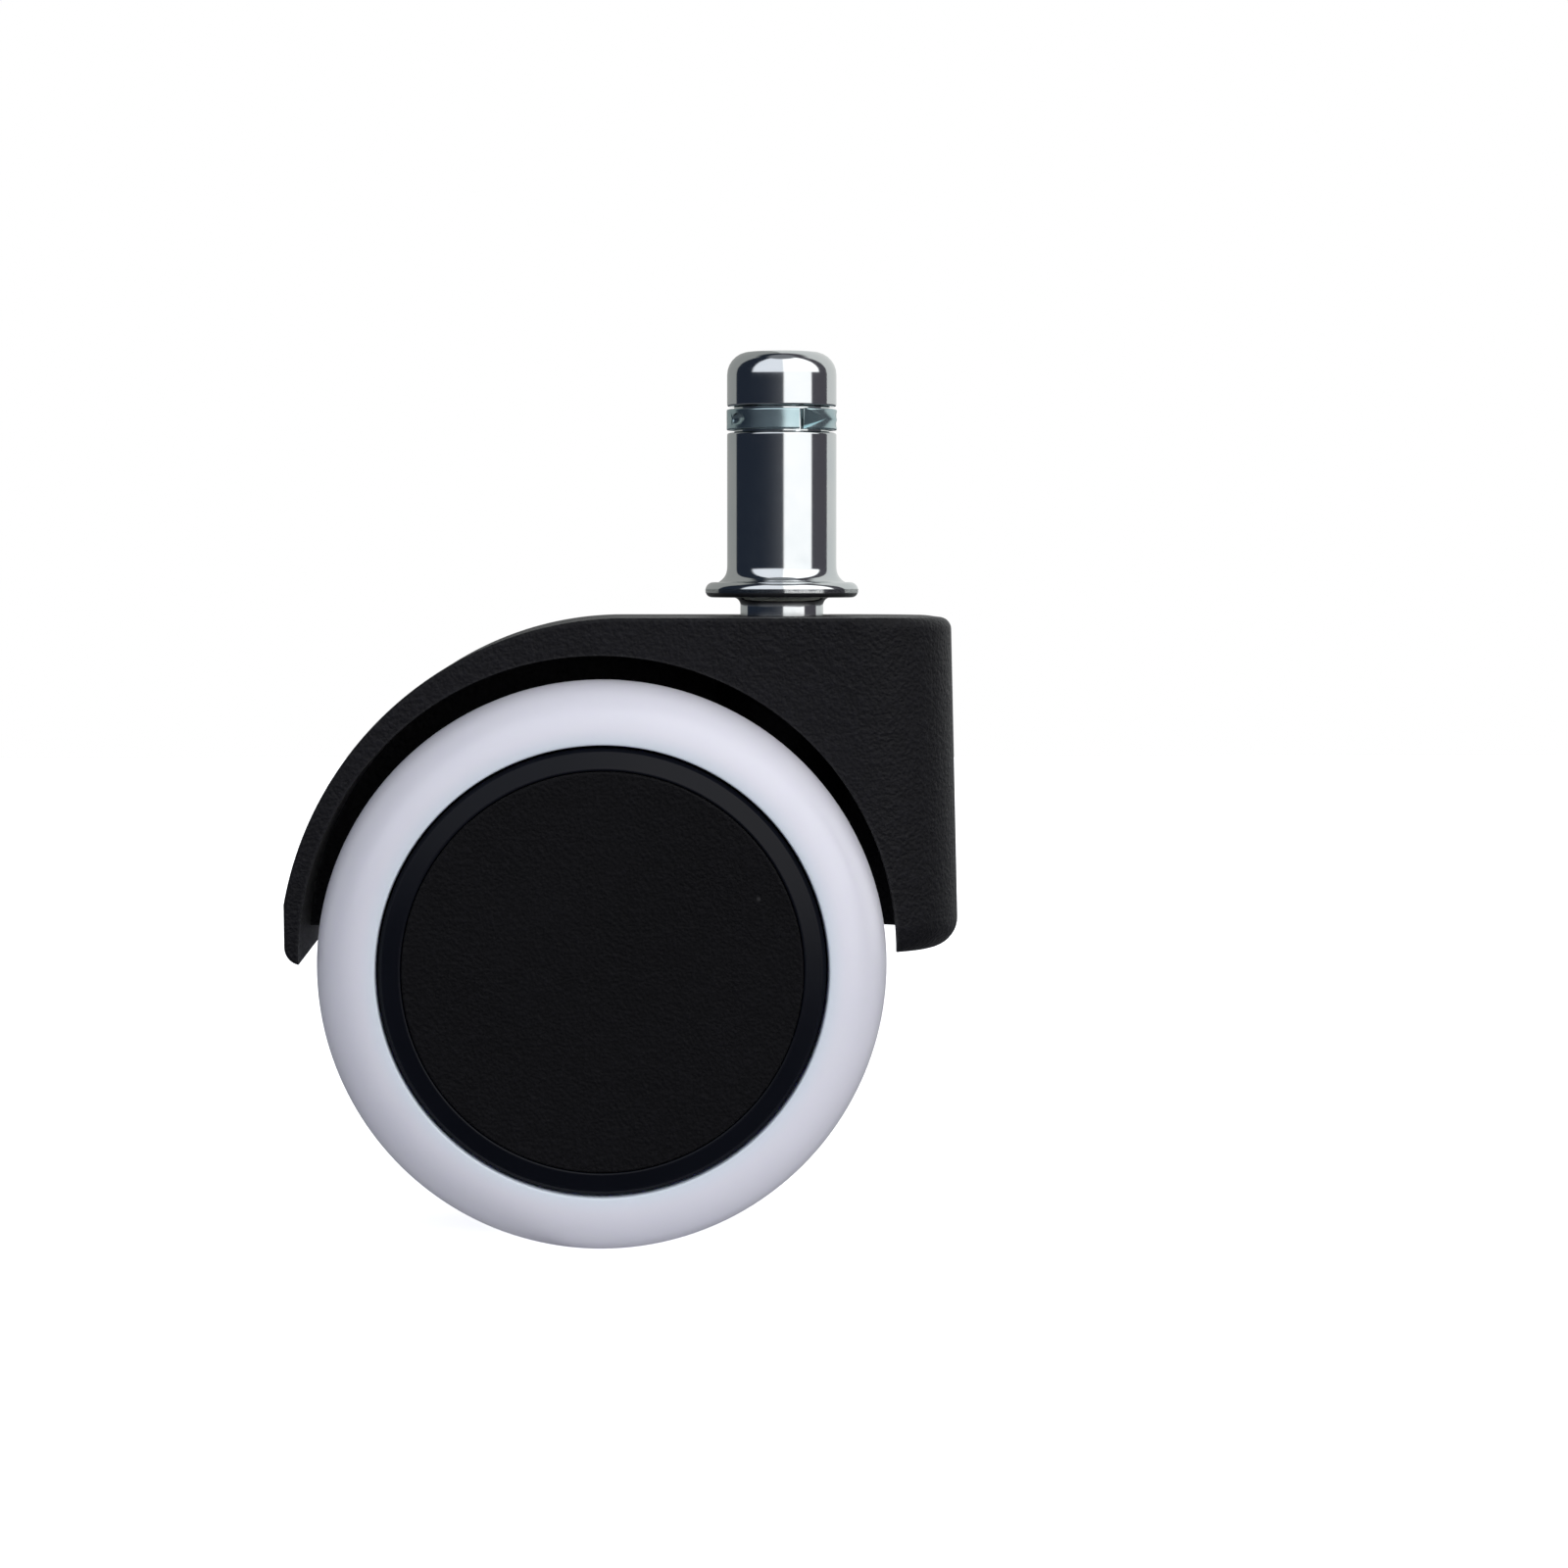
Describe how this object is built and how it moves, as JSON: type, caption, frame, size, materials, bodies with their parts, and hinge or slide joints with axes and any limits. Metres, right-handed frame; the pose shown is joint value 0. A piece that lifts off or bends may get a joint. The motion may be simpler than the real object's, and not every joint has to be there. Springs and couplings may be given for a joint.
{
  "type": "chair caster wheel",
  "caption": "Hooded twin-wheel swivel caster with pale treads and a plain grip-ring stem that pushes into a chair's foot.",
  "frame": {"origin": "on the swivel axis, in the plane of the top face of the stem's flange, which is the stem mount", "axes": "+Z along the stem towards its tip, +Y along the axle towards the left wheel, the wheels trail towards -X"},
  "size_m": [0.0599, 0.049, 0.0795],
  "materials": {
    "stem_zinc": "bright zinc plate",
    "spring_steel": "blue-grey spring steel, satin",
    "plain_steel": "turned steel",
    "hood_nylon": "black nylon with a fine moulded grain",
    "bearing_nylon": "natural bearing nylon",
    "core_nylon": "black nylon, satin gloss",
    "cap_nylon": "black nylon with a fine moulded grain",
    "tyre_urethane": "pale lavender-grey urethane, smooth"
  },
  "bodies": {
    "stem": {"stem_pin": "stem_zinc", "stem_snap_ring": "spring_steel"},
    "grip_ring": {"grip_ring": "spring_steel"},
    "housing": {"housing": "hood_nylon", "socket_sleeve": "bearing_nylon", "thrust_disc": "plain_steel", "axle": "plain_steel", "inner_washer_left": "bearing_nylon", "inner_washer_right": "bearing_nylon", "outer_washer_left": "plain_steel", "outer_washer_right": "plain_steel", "push_nut_left": "spring_steel", "push_nut_right": "spring_steel"},
    "wheel_left": {"tyre_left": "tyre_urethane", "wheel_core_left": "core_nylon", "hub_cap_left": "cap_nylon", "wheel_bush_left": "bearing_nylon"},
    "wheel_right": {"tyre_right": "tyre_urethane", "wheel_core_right": "core_nylon", "hub_cap_right": "cap_nylon", "wheel_bush_right": "bearing_nylon"}
  },
  "joints": [
    {"name": "swivel", "type": "hinge", "parent": "stem", "child": "housing", "pos_m": [0, 0, 0], "axis": [0, 0, 1], "continuous": true},
    {"name": "grip_ring_turn", "type": "hinge", "parent": "stem", "child": "grip_ring", "pos_m": [0, 0, 0.0148], "axis": [0, 0, 1], "continuous": true},
    {"name": "wheel_left_spin", "type": "hinge", "parent": "housing", "child": "wheel_left", "pos_m": [-0.0165, 0.0158, -0.0335], "axis": [0, 1, 0], "continuous": true},
    {"name": "wheel_right_spin", "type": "hinge", "parent": "housing", "child": "wheel_right", "pos_m": [-0.0165, -0.0158, -0.0335], "axis": [0, 1, 0], "continuous": true}
  ]
}
